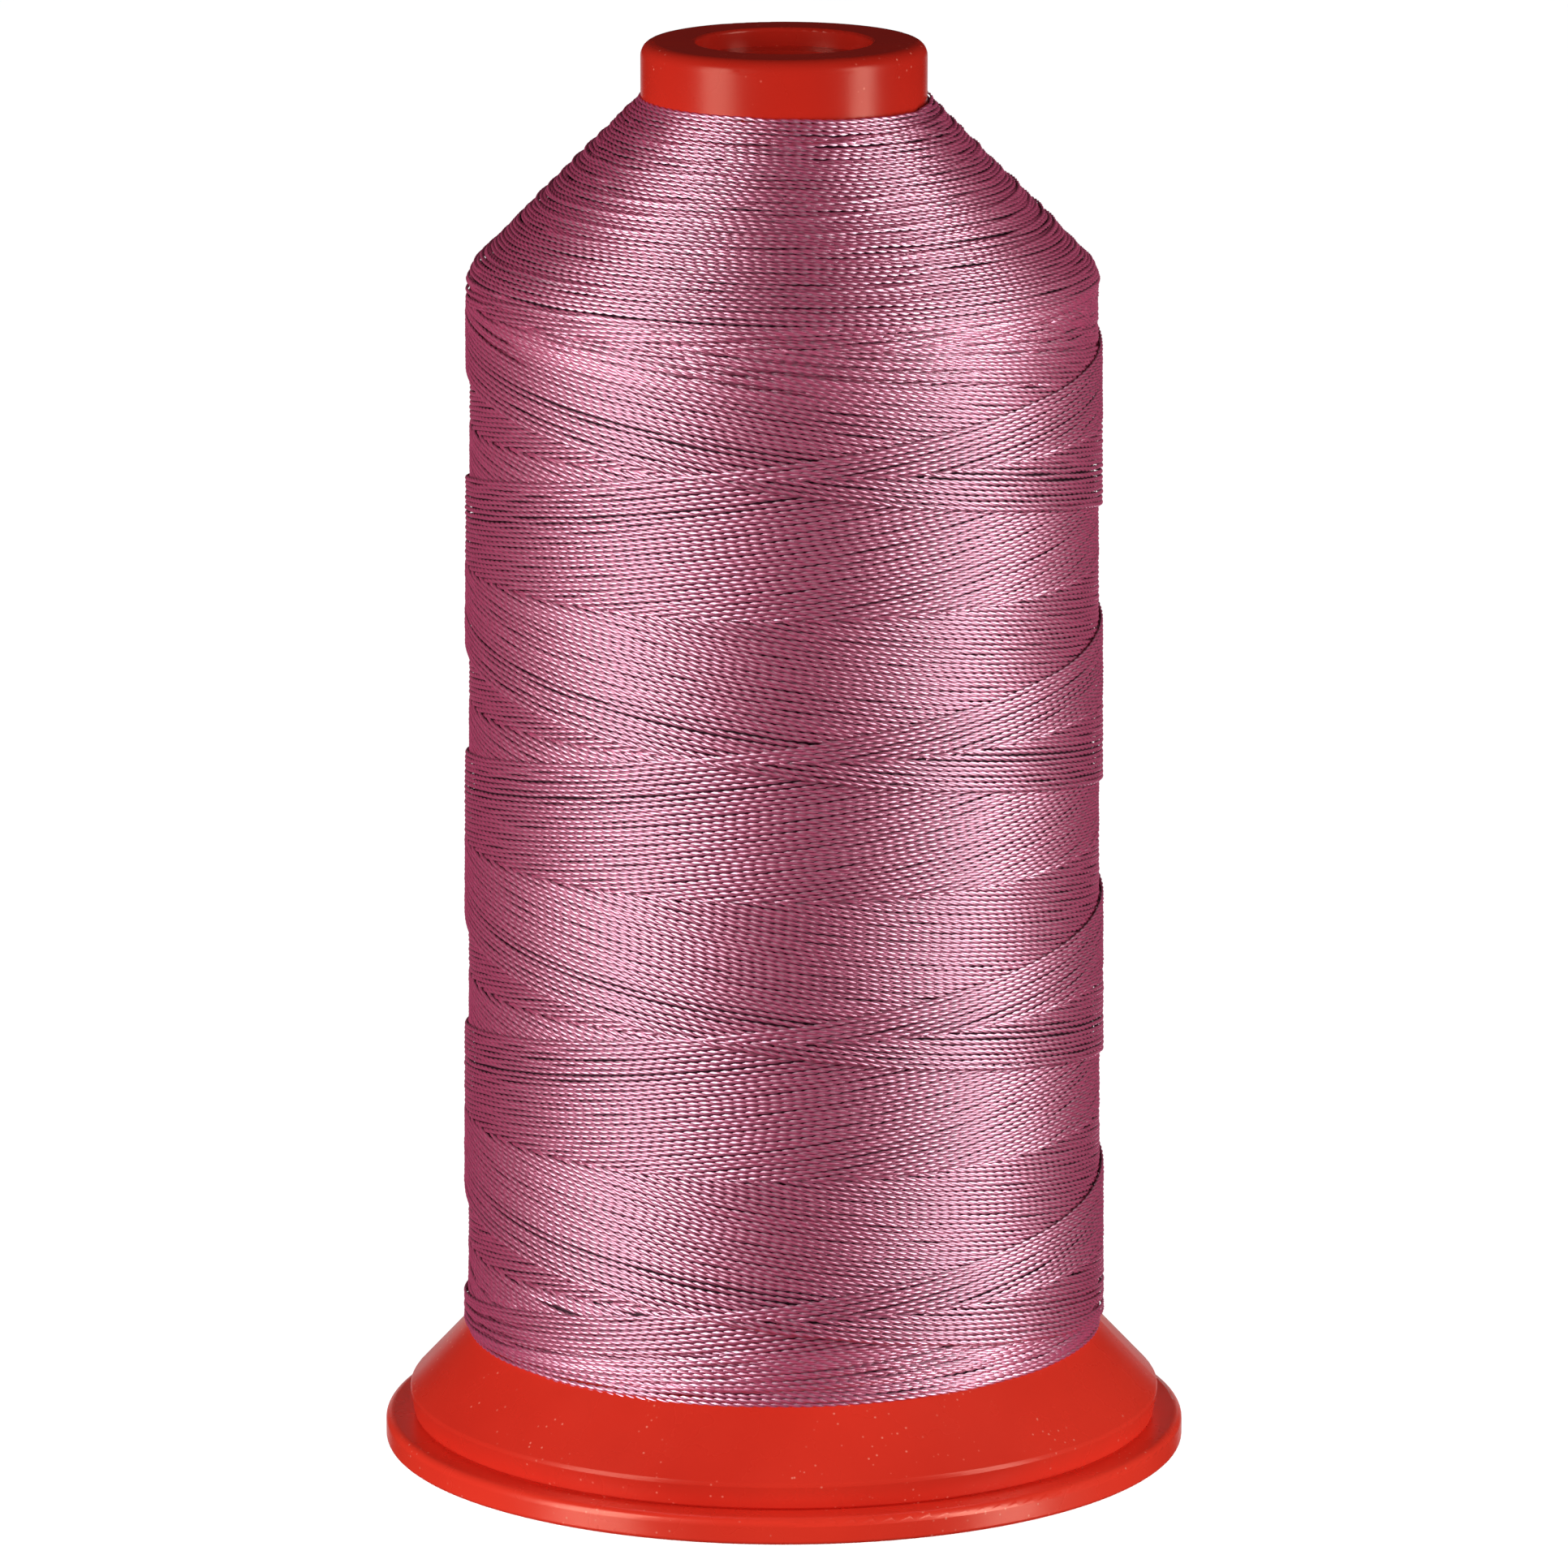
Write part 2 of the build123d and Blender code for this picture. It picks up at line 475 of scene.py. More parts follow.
@dataclass
class Outline:
    """The winding's outer surface: a nearly straight body, a rounded shoulder and a cone.

    Places on it are given by travel, which is height on the body and goes on along the slope
    above the shoulder.
    """

    foot_radius: float = 23.1 * MM
    shoulder_radius: float = 22.5 * MM
    foot: float = 8.2 * MM
    shoulder: float = 85.7 * MM
    top: float = 97.95 * MM
    top_radius: float = 10.35 * MM
    rounding: float = 1.3 * MM
    step: float = 0.05 * MM
    travels: np.ndarray = field(init=False)
    radii: np.ndarray = field(init=False)
    heights: np.ndarray = field(init=False)
    leans: np.ndarray = field(init=False)

    def __post_init__(self) -> None:
        """Adds up the outline in small steps, leaning over by the cone's angle at the shoulder."""
        taper = math.atan2(self.foot_radius - self.shoulder_radius, self.shoulder - self.foot)
        cone = math.atan2(self.shoulder_radius - self.top_radius, self.top - self.shoulder)
        self.travels = np.arange(0.0, self.end + self.step, self.step)
        share = smooth_step((self.travels - self.shoulder) / self.rounding)
        self.leans = taper + (cone - taper) * share
        self.radii = np.cumsum(-np.sin(self.leans) * self.step)
        self.heights = np.cumsum(np.cos(self.leans) * self.step)
        self.radii += self.foot_radius - np.interp(self.foot, self.travels, self.radii)
        self.heights += self.foot - np.interp(self.foot, self.travels, self.heights)

    @property
    def end(self) -> float:
        """Travel at the cone's top edge."""
        rise = self.top - self.shoulder
        return self.shoulder + math.hypot(rise, self.shoulder_radius - self.top_radius)

    def point(self, angle: np.ndarray, travel: np.ndarray, lift: np.ndarray) -> np.ndarray:
        """Finds points over the surface.

        Args:
            angle: angles about the axis, in radians.
            travel: places up the outline.
            lift: how far outside the surface, along its normal.

        Returns:
            One row of x, y, z for each point.
        """
        radius = np.interp(travel, self.travels, self.radii)
        height = np.interp(travel, self.travels, self.heights)
        lean = np.interp(travel, self.travels, self.leans)
        radius = radius + lift * np.cos(lean)
        height = height + lift * np.sin(lean)
        return np.stack([radius * np.cos(angle), radius * np.sin(angle), height], 1)

    def normal(self, angle: np.ndarray, travel: np.ndarray) -> np.ndarray:
        """Finds the surface's outward normals.

        Args:
            angle: angles about the axis, in radians.
            travel: places up the outline.

        Returns:
            One row of x, y, z for each place.
        """
        lean = np.interp(travel, self.travels, self.leans)
        level = np.cos(lean)
        return np.stack([level * np.cos(angle), level * np.sin(angle), np.sin(lean)], 1)


def smooth_step(value: np.ndarray) -> np.ndarray:
    """Goes smoothly from 0 to 1 as value goes from -1 to 1.

    Args:
        value: any numbers.

    Returns:
        Numbers from 0 to 1.
    """
    share = np.clip((value + 1) / 2, 0, 1)
    return share * share * (3 - 2 * share)


def wander(
    random: np.random.Generator,
    turn: np.ndarray,
    waves: tuple[float, float],
    count: int = 3,
) -> np.ndarray:
    """A slow random wave along a strand.

    Args:
        random: the source of its phases.
        turn: places along the strand, in turns.
        waves: the least and most waves in a turn.
        count: how many waves are added.

    Returns:
        Values of about -1 to 1.
    """
    rates = random.uniform(*waves, count)
    phases = random.uniform(0, 2 * math.pi, count)
    total = sum(np.sin(2 * math.pi * rate * turn + phase) for rate, phase in zip(rates, phases))
    return total / math.sqrt(count)


def tucked(ends: np.ndarray, depth: float, length: float) -> np.ndarray:
    """Finds how deep a strand dips near its two ends, to hide them under the others.

    Args:
        ends: the distance from each place to the nearer end.
        depth: how deep the ends lie.
        length: half of the stretch over which the strand dips.

    Returns:
        The depth at each place.
    """
    return depth * (1 - smooth_step(ends / length - 1))


@dataclass
class Strands:
    """A mesh of strands, each a half tube of three twisted plies, whose open back is hidden.

    A strand's rows of points are so spaced that each row turns the plies by one column, and the
    grooves between them run along edges of the mesh.
    """

    name: str
    outline: Outline
    radius: float = 0.190 * MM
    plies: int = 3
    ply_radius: float = 0.53
    twist: float = 2.5 * MM
    facets: int = 3
    columns: int = 5
    map_pitch: float = 1.3
    map_fill: float = 0.8
    points: list[np.ndarray] = field(default_factory=list)
    faces: list[np.ndarray] = field(default_factory=list)
    patterns: list[np.ndarray] = field(default_factory=list)
    grooves: list[np.ndarray] = field(default_factory=list)
    count: int = 0
    length: float = 0.0

    PATTERN_MAP = "StrandMap"
    BAKE_MAP = "OFBake"

    @classmethod
    def ply_spacing(cls) -> float:
        """Distance along a strand from one ply to the next."""
        return cls.twist / cls.plies

    @classmethod
    def half_width(cls) -> float:
        """Angle from a strand's outermost line to its edge."""
        return math.pi / (cls.plies * cls.facets) * (cls.columns - 1)

    @property
    def step(self) -> float:
        """Distance between rows."""
        return self.ply_spacing() / self.facets

    def reach(self, ply: np.ndarray) -> np.ndarray:
        """The distance from a strand's middle to its surface.

        Args:
            ply: the angle from the middle of the nearest ply.

        Returns:
            The distance in the direction of each angle.
        """
        centre = 1 - self.ply_radius
        side = np.sqrt(self.ply_radius**2 - (centre * np.sin(ply)) ** 2)
        return self.radius * (centre * np.cos(ply) + side)

    def lay(self, turn: np.ndarray, travel: np.ndarray, lift: np.ndarray, offset: float) -> None:
        """Adds one strand.

        Args:
            turn: places round the axis, in turns from the left side.
            travel: places up the outline.
            lift: the strand's middle over the surface.
            offset: how far along its first row lies, as a share of one ply's spacing.
        """
        rough = self.outline.point(math.pi + 2 * math.pi * turn, travel, lift)
        along = np.concatenate([[0.0], np.cumsum(np.linalg.norm(np.diff(rough, axis=0), axis=1))])
        first = offset * self.facets * self.step
        rows = int((along[-1] - first) / self.step)
        places = first + np.arange(rows) * self.step
        angle = math.pi + 2 * math.pi * np.interp(places, along, turn)
        travel = np.interp(places, along, travel)
        middle = self.outline.point(angle, travel, np.interp(places, along, lift))
        out, up = self.axes(middle, self.outline.normal(angle, travel))
        around = np.linspace(-self.half_width(), self.half_width(), self.columns)
        facet = (np.arange(rows)[:, None] + np.arange(self.columns)[None, :]) % self.facets
        reach = self.reach((facet / self.facets - 0.5) * 2 * math.pi / self.plies)
        points = (
            middle[:, None, :]
            + (reach * np.cos(around))[:, :, None] * out[:, None, :]
            + (reach * np.sin(around))[:, :, None] * up[:, None, :]
        )
        self.faces.append(self.grid(rows) + self.count)
        self.points.append(points.reshape(-1, 3))
        self.grooves.append((facet == 0).ravel())
        pattern = np.empty((rows, self.columns, 2))
        pattern[:, :, 0] = (self.length + places - first)[:, None]
        pattern[:, :, 1] = (around * self.radius)[None, :]
        self.patterns.append(pattern.reshape(-1, 2))
        self.count += rows * self.columns
        self.length += math.ceil(rows / self.facets) * self.ply_spacing()

    @staticmethod
    def axes(middle: np.ndarray, normal: np.ndarray) -> tuple[np.ndarray, np.ndarray]:
        """Finds the two directions across a strand, for each of its rows.

        Args:
            middle: the strand's middle line.
            normal: the winding's outward normals along it.

        Returns:
            The directions away from the winding, and those along its surface.
        """
        tangent = np.gradient(middle, axis=0)
        tangent /= np.linalg.norm(tangent, axis=1)[:, None]
        out = normal - (normal * tangent).sum(1)[:, None] * tangent
        out /= np.linalg.norm(out, axis=1)[:, None]
        return out, np.cross(out, tangent)

    def grid(self, rows: int) -> np.ndarray:
        """Joins a strand's rows of points with triangles.

        Args:
            rows: how many rows it has.

        Returns:
            The three corners of each triangle, counted from the strand's first point.
        """
        columns = self.columns
        corner = np.arange((rows - 1) * columns).reshape(rows - 1, columns)[:, :-1].ravel()
        lower = np.stack([corner, corner + columns, corner + 1], 1)
        upper = np.stack([corner + columns, corner + columns + 1, corner + 1], 1)
        return np.stack([lower, upper], 1).reshape(-1, 3)

    def build(self, material: bpy.types.Material) -> bpy.types.Object:
        """Makes the mesh object.

        Args:
            material: the thread's finish.

        Returns:
            The new object, riding on the spool.
        """
        points = np.concatenate(self.points).astype(np.float32)
        faces = np.concatenate(self.faces).astype(np.int32)
        pattern = np.concatenate(self.patterns)
        mesh = bpy.data.meshes.new(self.name)
        mesh.vertices.add(len(points))
        mesh.vertices.foreach_set("co", points.ravel())
        mesh.loops.add(faces.size)
        mesh.loops.foreach_set("vertex_index", faces.ravel())
        mesh.polygons.add(len(faces))
        mesh.polygons.foreach_set("loop_start", np.arange(0, faces.size, 3, dtype=np.int32))
        mesh.update(calc_edges=True)
        mesh.shade_smooth()
        self.crease(mesh)
        corner = pattern[faces.ravel()]
        self.add_map(mesh, self.PATTERN_MAP, corner)
        self.add_map(mesh, self.BAKE_MAP, self.packed(corner))
        mesh.materials.append(material)
        piece = bpy.data.objects.new(self.name, mesh)
        bpy.context.scene.collection.objects.link(piece)
        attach(piece, "spool")
        log.info("%s: %d triangles, %.1f m of strand", self.name, len(faces), self.length)
        return piece

    def crease(self, mesh: bpy.types.Mesh) -> None:
        """Makes the grooves between the plies sharp edges.

        Args:
            mesh: the strands' mesh.
        """
        groove = np.concatenate(self.grooves)
        ends = np.empty(len(mesh.edges) * 2, np.int32)
        mesh.edges.foreach_get("vertices", ends)
        low, high = np.sort(ends.reshape(-1, 2), axis=1).T
        sharp = groove[low] & groove[high] & (high - low == self.columns - 1)
        attribute = mesh.attributes.new("sharp_edge", "BOOLEAN", "EDGE")
        attribute.data.foreach_set("value", sharp)

    def packed(self, corner: np.ndarray) -> np.ndarray:
        """Lays the strands out in rows on a square, so that no two places share a point.

        Args:
            corner: the pattern map's places, one row for each face corner.

        Returns:
            Places from 0 to 1, one row for each face corner.
        """
        width = 2 * self.half_width() * self.radius
        rows = max(1, math.ceil(math.sqrt(self.length / (width * self.map_pitch))))
        row_length = self.length / rows + self.step
        row = np.repeat(corner[0::3, 0] // row_length, 3)
        right = (corner[:, 0] - row * row_length) / (row_length + self.step)
        across = 0.5 + self.map_fill * corner[:, 1] / width
        places = np.stack([right, (row + across) / rows], 1)
        return np.clip(places, 0, 1)

    @staticmethod
    def add_map(mesh: bpy.types.Mesh, name: str, places: np.ndarray) -> None:
        """Gives the mesh a UV map.

        Args:
            mesh: the mesh.
            name: the map's name.
            places: one place for each face corner.
        """
        layer = mesh.uv_layers.new(name=name, do_init=False)
        layer.uv.foreach_set("vector", places.astype(np.float32).ravel())


@dataclass
class CrossWinding:
    """The body of the package: rising and falling passes, newer ones over older ones."""

    outline: Outline
    passes: int = 58
    rise: float = 20.0 * MM
    newest_rising: float = 70.8 * MM
    newest_falling: float = 58.7 * MM
    layer: float = 0.30 * MM
    strand: float = 0.187 * MM
    sample: float = 0.27 * MM
    turn_zone: tuple[float, float] = (2.5 * MM, 5.5 * MM)
    ends_spread: float = 1.0 * MM
    dip: float = 0.9
    cover: float = 1.6
    stray: float = 0.026 * MM
    wobble: float = 0.02 * MM
    uneven: float = 0.03
    loose: int = 9
    loose_gaps: tuple[float, ...] = (0.0, 0.10, 0.24)
    loose_odds: tuple[float, ...] = (0.5, 0.3, 0.2)
    thinning: float = 0.618
    tuck_depth: float = 0.35 * MM
    tuck_length: float = 1.5 * MM
    shortest: int = 6
    seed: int = 7
    bands: int = 5

    def ages(self, random: np.random.Generator) -> np.ndarray:
        """Spaces the passes over one rise, with looser spacing among the newest.

        Args:
            random: the source of the uneven gaps.

        Returns:
            Each pass's age, from 0 for the newest to 1 for the oldest.
        """
        gaps = 1 + random.normal(0, self.uneven, self.passes)
        gaps[: self.loose] += random.choice(self.loose_gaps, self.loose, p=self.loose_odds)
        places = np.cumsum(gaps)
        return (places - places[0] * 0.5) / places[-1]

    def height(self, level: np.ndarray, low: float, high: float, zone: float) -> np.ndarray:
        """Bends a pass over at its ends, where it turns back.

        Args:
            level: the height that the pass would have if it never turned.
            low: where it turns at the foot.
            high: where it turns at the shoulder.
            zone: how far from its ends it starts to bend.

        Returns:
            The height at each place.
        """
        foot = low + np.maximum(level - low + zone, 0) ** 2 / (4 * zone)
        head = high - np.maximum(high + zone - level, 0) ** 2 / (4 * zone)
        return np.where(level < low + zone, foot, np.where(level > high - zone, head, level))

    def level(self, travel: np.ndarray) -> np.ndarray:
        """Undoes height, for a pass whose ends lie in the middle of their spread.

        Args:
            travel: places up the outline.

        Returns:
            The height that the pass would have at each place if it never turned.
        """
        zone = sum(self.turn_zone) / 2
        low = self.outline.foot + self.ends_spread / 2
        high = self.outline.shoulder - self.ends_spread / 2
        foot = low - zone + 2 * np.sqrt(zone * np.maximum(travel - low, 0))
        head = high + zone - 2 * np.sqrt(zone * np.maximum(high - travel, 0))
        return np.where(travel < low + zone, foot, np.where(travel > high - zone, head, travel))

    def age_of(self, lay: Lay, turn: np.ndarray, level: np.ndarray) -> np.ndarray:
        """Finds which pass of one lay is at each place.

        Args:
            lay: the lay.
            turn: places round the axis, in turns.
            level: heights that passes would have if they never turned.

        Returns:
            The pass's age, from 0 for the newest to 1 for the oldest.
        """
        if lay is Lay.RISING:
            back = self.newest_rising + self.rise * turn - level
        else:
            back = level - self.newest_falling + self.rise * turn
        return (back / self.rise) % 1.0

    @staticmethod
    def end_share(age: float, phases: list[float]) -> float:
        """Finds where in the spread of ends a pass turns back.

        Args:
            age: the pass's age.
            phases: the phases of two waves over the ages.

        Returns:
            A share of the spread, from 0 to 1.
        """
        return 0.5 + 0.3 * math.sin(12 * age + phases[0]) + 0.2 * math.sin(29 * age + phases[1])

    def strands(self, lay: Lay) -> Iterator[tuple[np.ndarray, np.ndarray, np.ndarray, float]]:
        """Works out every stretch of one lay that lies on top, with a margin that dips under.

        Args:
            lay: the lay.

        Yields:
            Turn, travel and lift along the stretch, and its twist's offset.
        """
        random = np.random.default_rng(self.seed + lay.value)
        waver = [random.uniform(0, 2 * math.pi) for _ in range(4)]
        other = Lay.FALLING if lay is Lay.RISING else Lay.RISING
        start = self.newest_rising if lay is Lay.RISING else self.newest_falling
        ages = self.ages(random)
        per_turn = round(2 * math.pi * self.outline.shoulder_radius / self.sample)
        for index, age in enumerate(ages):
            low = self.outline.foot + self.strand + self.ends_spread * self.end_share(age, waver[:2])
            high = self.outline.shoulder - self.ends_spread * self.end_share(age, waver[2:])
            zone = self.turn_zone[0] + (self.turn_zone[1] - self.turn_zone[0]) * min(1.0, age * 3)
            stops = [1 - (index * self.thinning + phase) % 1.0 for phase in (0.0, 0.5)]
            reached = (low + zone - 2 * zone * stops[0], high - zone + 2 * zone * stops[1])
            bounds = [(x - start) / self.rise * lay.value + age for x in reached]
            count = round((max(bounds) - min(bounds)) * per_turn)
            turn = np.linspace(min(bounds), max(bounds), count)
            level = start + lay.value * self.rise * (turn - age)
            stray = self.stray * wander(random, turn, (0.5, 30.0), 7)
            travel = self.height(level, low, high, zone) + stray
            over = self.age_of(other, turn, self.level(travel))
            ahead = (over - age) * self.passes
            on_top = smooth_step(ahead / self.dip)
            lift = self.layer * ((1 - age) + (1 - over) - (1 - on_top) - 1) - self.strand
            lift += self.wobble * wander(random, turn, (1.0, 8.0))
            ends = np.minimum(turn - turn[0], turn[-1] - turn) * per_turn * self.sample
            lift -= tucked(ends, self.tuck_depth, self.tuck_length)
            lift = np.convolve(np.pad(lift, 2, mode="edge"), np.full(5, 0.2), mode="valid")
            shown = (ahead > -self.cover) | (over * self.passes < self.cover)
            edges = np.flatnonzero(np.diff(np.concatenate([[0], shown.astype(int), [0]])))
            for first, last in zip(edges[::2], edges[1::2]):
                if last - first > self.shortest:
                    yield turn[first:last], travel[first:last], lift[first:last], random.random()

    def build(self, material: bpy.types.Material) -> list[bpy.types.Object]:
        """Makes the strands, in bands up the body so that no mesh is too large.

        Args:
            material: the thread's finish.

        Returns:
            The new objects, one for each lay and band.
        """
        made = []
        span = (self.outline.shoulder - self.outline.foot) / self.bands
        for lay in Lay:
            word = lay.name.lower()
            groups = [Strands(f"{word}_strands_{i + 1}", self.outline) for i in range(self.bands)]
            for turn, travel, lift, offset in self.strands(lay):
                band = int((travel.mean() - self.outline.foot) / span)
                groups[min(max(band, 0), self.bands - 1)].lay(turn, travel, lift, offset)
            made += [group.build(material) for group in groups]
        return made


@dataclass
class RingTurns:
    """Nearly level turns, where passes turn back: over the shoulder's cone and round the foot."""

    outline: Outline
    name: str
    low: float
    high: float
    pitch: float = 0.330 * MM
    sway: float = 0.30 * MM
    sink: tuple[float, float] = (0.0, 0.0)
    length: tuple[float, float] = (1.04, 1.04)
    drift: float = 0.10
    stray: float = 0.032 * MM
    uneven: float = 0.025 * MM
    wobble: float = 0.03 * MM
    tuck_depth: float = 0.35 * MM
    tuck_length: float = 1.5 * MM
    seed: int = 11
    strand: float = 0.187 * MM
    sample: float = 0.27 * MM

    def build(self, material: bpy.types.Material) -> bpy.types.Object:
        """Makes the turns as one mesh.

        Args:
            material: the thread's finish.

        Returns:
            The new object.
        """
        random = np.random.default_rng(self.seed)
        group = Strands(self.name, self.outline)
        count = round((self.high - self.low) / self.pitch)
        phase = random.uniform(0, 2 * math.pi)
        for index in range(count):
            travel = self.low + (index + 0.5) * self.pitch
            radius = float(np.interp(travel, self.outline.travels, self.outline.radii))
            start = random.random()
            phase += random.normal(0, self.drift)
            length = random.uniform(*self.length)
            turn = start + np.linspace(0, length, round(length * 2 * math.pi * radius / self.sample))
            sway = self.sway * np.sin(2 * math.pi * turn + phase)
            sway += self.stray * wander(random, turn, (0.5, 24.0), 7)
            ends = np.minimum(turn - start, start + length - turn) * 2 * math.pi * radius
            lift = self.uneven * random.normal() + self.wobble * wander(random, turn, (0.5, 3.0))
            lift -= np.interp(travel, (self.low, self.high), self.sink)
            lift = lift - self.strand - tucked(ends, self.tuck_depth, self.tuck_length)
            group.lay(turn, travel + sway, lift, random.random())
        return group.build(material)


@dataclass
class ThreadPackage:
    """The wound thread: lower turns as one closed core, and the strands that show."""

    outline: Outline = field(default_factory=Outline)
    core_depth: float = 0.62 * MM
    core_segments: int = 128
    barrel_radius: float = 10.15 * MM
    skirt_flare: float = 0.935
    clearance: float = 0.1 * MM
    join: float = 0.4 * MM
    fill: float = 5.6 * MM
    deep: float = 0.38 * MM

    def core(self, material: bpy.types.Material) -> bpy.types.Object:
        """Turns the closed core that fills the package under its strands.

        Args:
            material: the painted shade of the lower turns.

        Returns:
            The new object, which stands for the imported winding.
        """
        outline = self.outline
        edges = np.array([outline.shoulder, outline.end])
        slope = outline.point(np.zeros(2), edges, np.full(2, -self.core_depth))
        shoulder, end = slope[:, [0, 2]].tolist()
        foot_radius = outline.foot_radius - self.core_depth
        profile = [
            (self.barrel_radius, outline.foot + (foot_radius - self.barrel_radius) / self.skirt_flare),
            (foot_radius, outline.foot + self.clearance),
            (shoulder[0], shoulder[1]),
            (end[0] + self.clearance, end[1]),
            (self.barrel_radius, end[1]),
        ]
        piece = turned("winding_core", profile, self.core_segments)
        piece.data.materials.append(material)
        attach(piece, "spool")
        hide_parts("thread_package")
        return piece

    def rings(self) -> list[RingTurns]:
        """Lists the level turns under the shoulder, over its cone and round the foot."""
        outline = self.outline
        shoulder = outline.shoulder - self.join
        return [
            RingTurns(
                outline,
                "edge_turns",
                low=shoulder - self.fill,
                high=shoulder,
                sink=(self.deep, 0.14 * MM),
                seed=3,
            ),
            RingTurns(
                outline,
                "shoulder_crossings",
                low=outline.shoulder + 0.8 * MM,
                high=outline.end - 0.8 * MM,
                pitch=1.25 * MM,
                sway=0.75 * MM,
                sink=(-0.10 * MM, -0.10 * MM),
                length=(0.35, 0.8),
                seed=23,
            ),
            RingTurns(
                outline,
                "shoulder_turns",
                low=shoulder,
                high=outline.end,
                sway=0.45 * MM,
            ),
            RingTurns(
                outline,
                "foot_turns",
                low=outline.foot,
                high=outline.foot + self.fill,
                sink=(0.10 * MM, self.deep),
                seed=5,
            ),
        ]

    def build(self) -> list[bpy.types.Object]:
        """Makes the whole package and returns its objects."""
        thread = Thread().build()
        made = [self.core(WindingShade().build())]
        made += CrossWinding(self.outline).build(thread)
        made += [ring.build(thread) for ring in self.rings()]
        return made


# --------------------------------------------------------------------------- mouldings


def turned(name: str, profile: list[tuple[float, float]], segments: int) -> bpy.types.Object:
    """Turns a closed profile round the Z axis, by spinning its edge loop.

    Args:
        name: the new object's name.
        profile: radius and height of each corner, from the inside out along the foot, then on up
            and back over the top.
        segments: steps in a whole turn.

    Returns:
        The new object, a closed ring with outward faces.
    """
    bpy.ops.object.select_all(action="DESELECT")
    bpy.ops.mesh.primitive_circle_add(vertices=len(profile), radius=MM)
    piece = bpy.context.object
    piece.name = piece.data.name = name
    for vertex, (radius, height) in zip(piece.data.vertices, profile):
        vertex.co = (radius, 0, height)
    bpy.ops.object.mode_set(mode="EDIT")
    bpy.ops.mesh.select_all(action="SELECT")
    bpy.ops.mesh.spin(steps=segments, angle=2 * math.pi, center=(0, 0, 0), axis=(0, 0, 1))
    bpy.ops.mesh.select_all(action="SELECT")
    bpy.ops.mesh.flip_normals()
    bpy.ops.object.mode_set(mode="OBJECT")
    return piece


@dataclass
class Mouldings:
    """The spool's red pieces and the label under them, as packed, in their finishes."""

    def build(self) -> list[bpy.types.Object]:
        """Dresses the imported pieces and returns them."""
        finishes = {
            "spool_body": RedPlastic("spool_plastic"),
            "snap_base": RedPlastic(
                "base_plastic",
                # painted light: the base has a lighter red than the body, for the light thrown back up
                # from the table onto the foot
                colour=(0.83, 0.042, 0.021),
                deep=(0.75, 0.032, 0.016),
                shine=0.75,
            ),
            "base_label": LabelPaper(),
        }
        made = []
        for node, finish in finishes.items():
            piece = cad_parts[node]
            piece.data.materials.clear()
            piece.data.materials.append(finish.build())
            made.append(piece)
        return made


# --------------------------------------------------------------------------- studio


@dataclass(frozen=True)
class Softbox:
    """One rectangular studio light.

    Its direction is its azimuth and elevation from the target, in degrees, where azimuth 0 is
    the front and grows to the right.
    """

    name: str
    direction: tuple[float, float]
    distance: float
    size: tuple[float, float]
    power: float
    target: tuple[float, float, float] = (0.0, 0.0, 0.05)

    def build(self) -> None:
        """Adds the light, turned to its target."""
        lamp = bpy.data.lights.new(self.name, "AREA")
        lamp.shape = "RECTANGLE"
        lamp.size = self.size[0]
        lamp.size_y = self.size[1]
        lamp.energy = self.power
        side = math.radians(self.direction[0])
        up = math.radians(self.direction[1])
        away = Vector((math.sin(side) * math.cos(up), -math.cos(side) * math.cos(up), math.sin(up)))
        light = bpy.data.objects.new(self.name, lamp)
        light.location = Vector(self.target) + away * self.distance
        light.rotation_mode = "QUATERNION"
        light.rotation_quaternion = away.to_track_quat("Z", "Y")
        light.visible_camera = False
        bpy.context.scene.collection.objects.link(light)


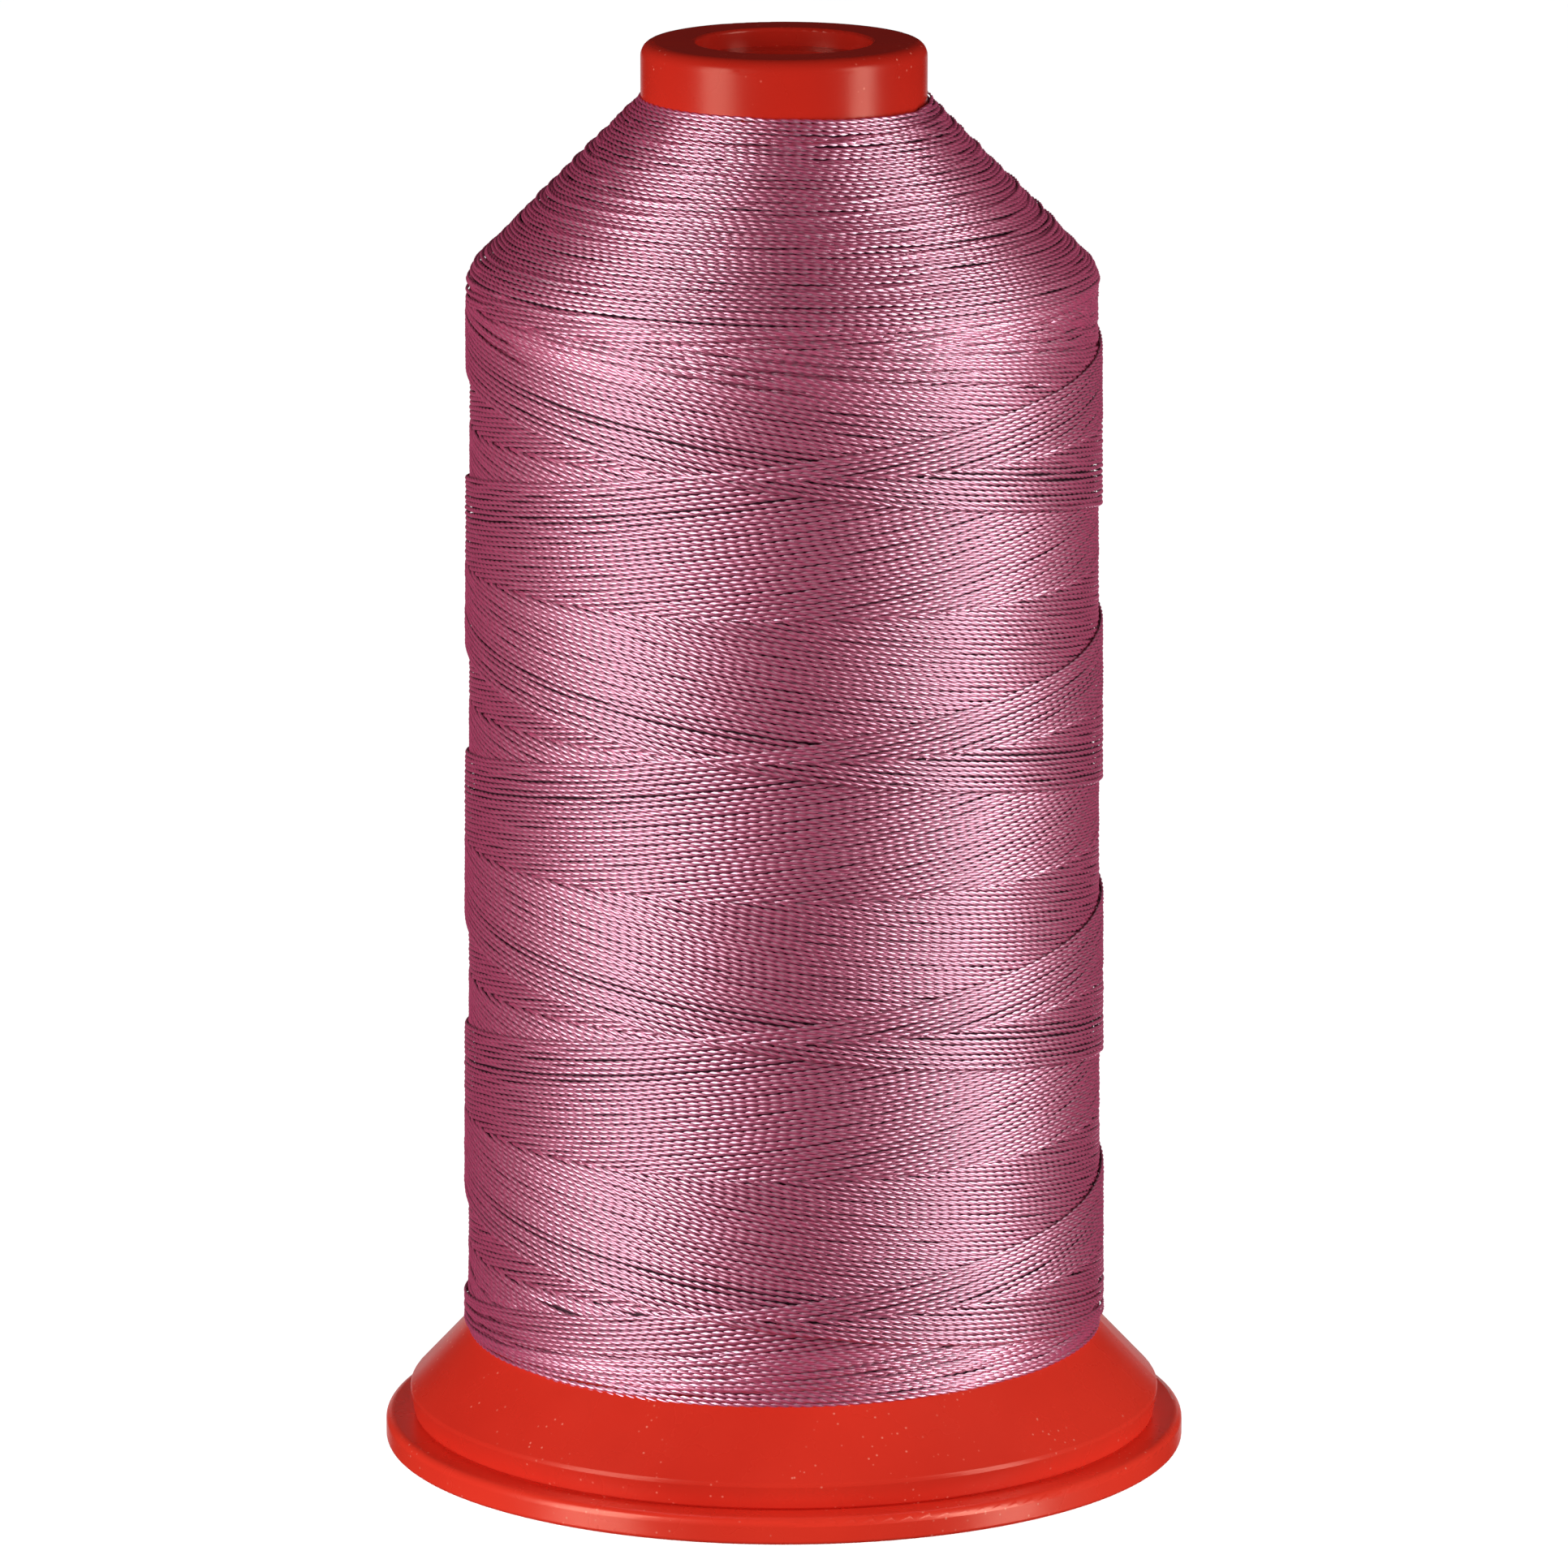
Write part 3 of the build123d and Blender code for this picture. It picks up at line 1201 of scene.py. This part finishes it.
@dataclass
class Studio:
    """Floor, lights, surroundings and camera."""

    floor_size: float = 6.0
    surroundings: float = 0.012
    camera_distance: float = 0.7219
    camera_height: float = 0.2092
    camera_tilt: float = 0.2194
    lens: float = 236.7
    sensor: float = 36.0

    def build(self) -> None:
        """Adds everything round the object."""
        self.build_floor()
        for light in self.lights():
            light.build()
        self.build_world()
        self.build_camera()

    def build_floor(self) -> None:
        """Adds the floor, seen by the camera and by nothing else."""
        bpy.ops.object.select_all(action="DESELECT")
        bpy.ops.mesh.primitive_plane_add(size=self.floor_size)
        floor = bpy.context.object
        floor.name = "studio_floor"
        floor.data.materials.append(StudioFloor().build())
        floor.visible_diffuse = False
        floor.visible_glossy = False
        floor.visible_shadow = False
        floor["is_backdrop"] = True

    @staticmethod
    def lights() -> list[Softbox]:
        """Lists the lights: a broad and a narrow bright one on each side, and two weak ones behind."""
        return [
            Softbox("left_softbox", (-56, 8), distance=0.38, size=(0.22, 0.42), power=0.39),
            Softbox("left_strip", (-54, 8), distance=0.37, size=(0.17, 0.42), power=1.36),
            Softbox("right_softbox", (67, 8), distance=0.38, size=(0.17, 0.42), power=0.28),
            Softbox("right_strip", (65, 8), distance=0.37, size=(0.13, 0.42), power=1.24),
            Softbox("back_softbox", (180, -12), distance=0.38, size=(0.30, 0.20), power=0.09),
            Softbox("back_fill", (180, -45), distance=0.45, size=(0.30, 0.25), power=0.90),
        ]

    def build_world(self) -> None:
        """Makes the surroundings dim to the object and pale behind it."""
        world = bpy.data.worlds.new("studio")
        world.use_nodes = True
        kit = NodeKit(world.node_tree)
        background = world.node_tree.nodes["Background"]
        seen = kit.add("LightPath").outputs["Is Camera Ray"]
        shade = kit.blend(seen, (self.surroundings,) * 3, WHITE)
        kit.link(shade, background.inputs["Color"])
        bpy.context.scene.world = world

    def build_camera(self) -> None:
        """Adds the camera and makes it the scene's."""
        data = bpy.data.cameras.new("camera")
        data.lens = self.lens
        data.sensor_width = self.sensor
        camera = bpy.data.objects.new("camera", data)
        camera.location = (0, -self.camera_distance, self.camera_height)
        camera.rotation_euler = (math.pi / 2 - self.camera_tilt, 0, 0)
        bpy.context.scene.collection.objects.link(camera)
        bpy.context.scene.camera = camera


def write_sizes() -> None:
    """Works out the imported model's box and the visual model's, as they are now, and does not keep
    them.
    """
    boxes = {"cad": cad_box, "visual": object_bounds()}
    {name: [list(corner) for corner in box] for name, box in boxes.items()}


def main() -> None:
    """Builds the spool, then the studio."""
    logging.basicConfig(level=logging.INFO, format="%(name)s: %(message)s")
    bpy.context.scene.view_settings.view_transform = "Standard"
    for builder in (Mouldings(), ThreadPackage()):
        for piece in builder.build():
            log.info("made %s", piece.name)
    Studio().build()
    write_sizes()


if __name__ == "__main__":
    main()
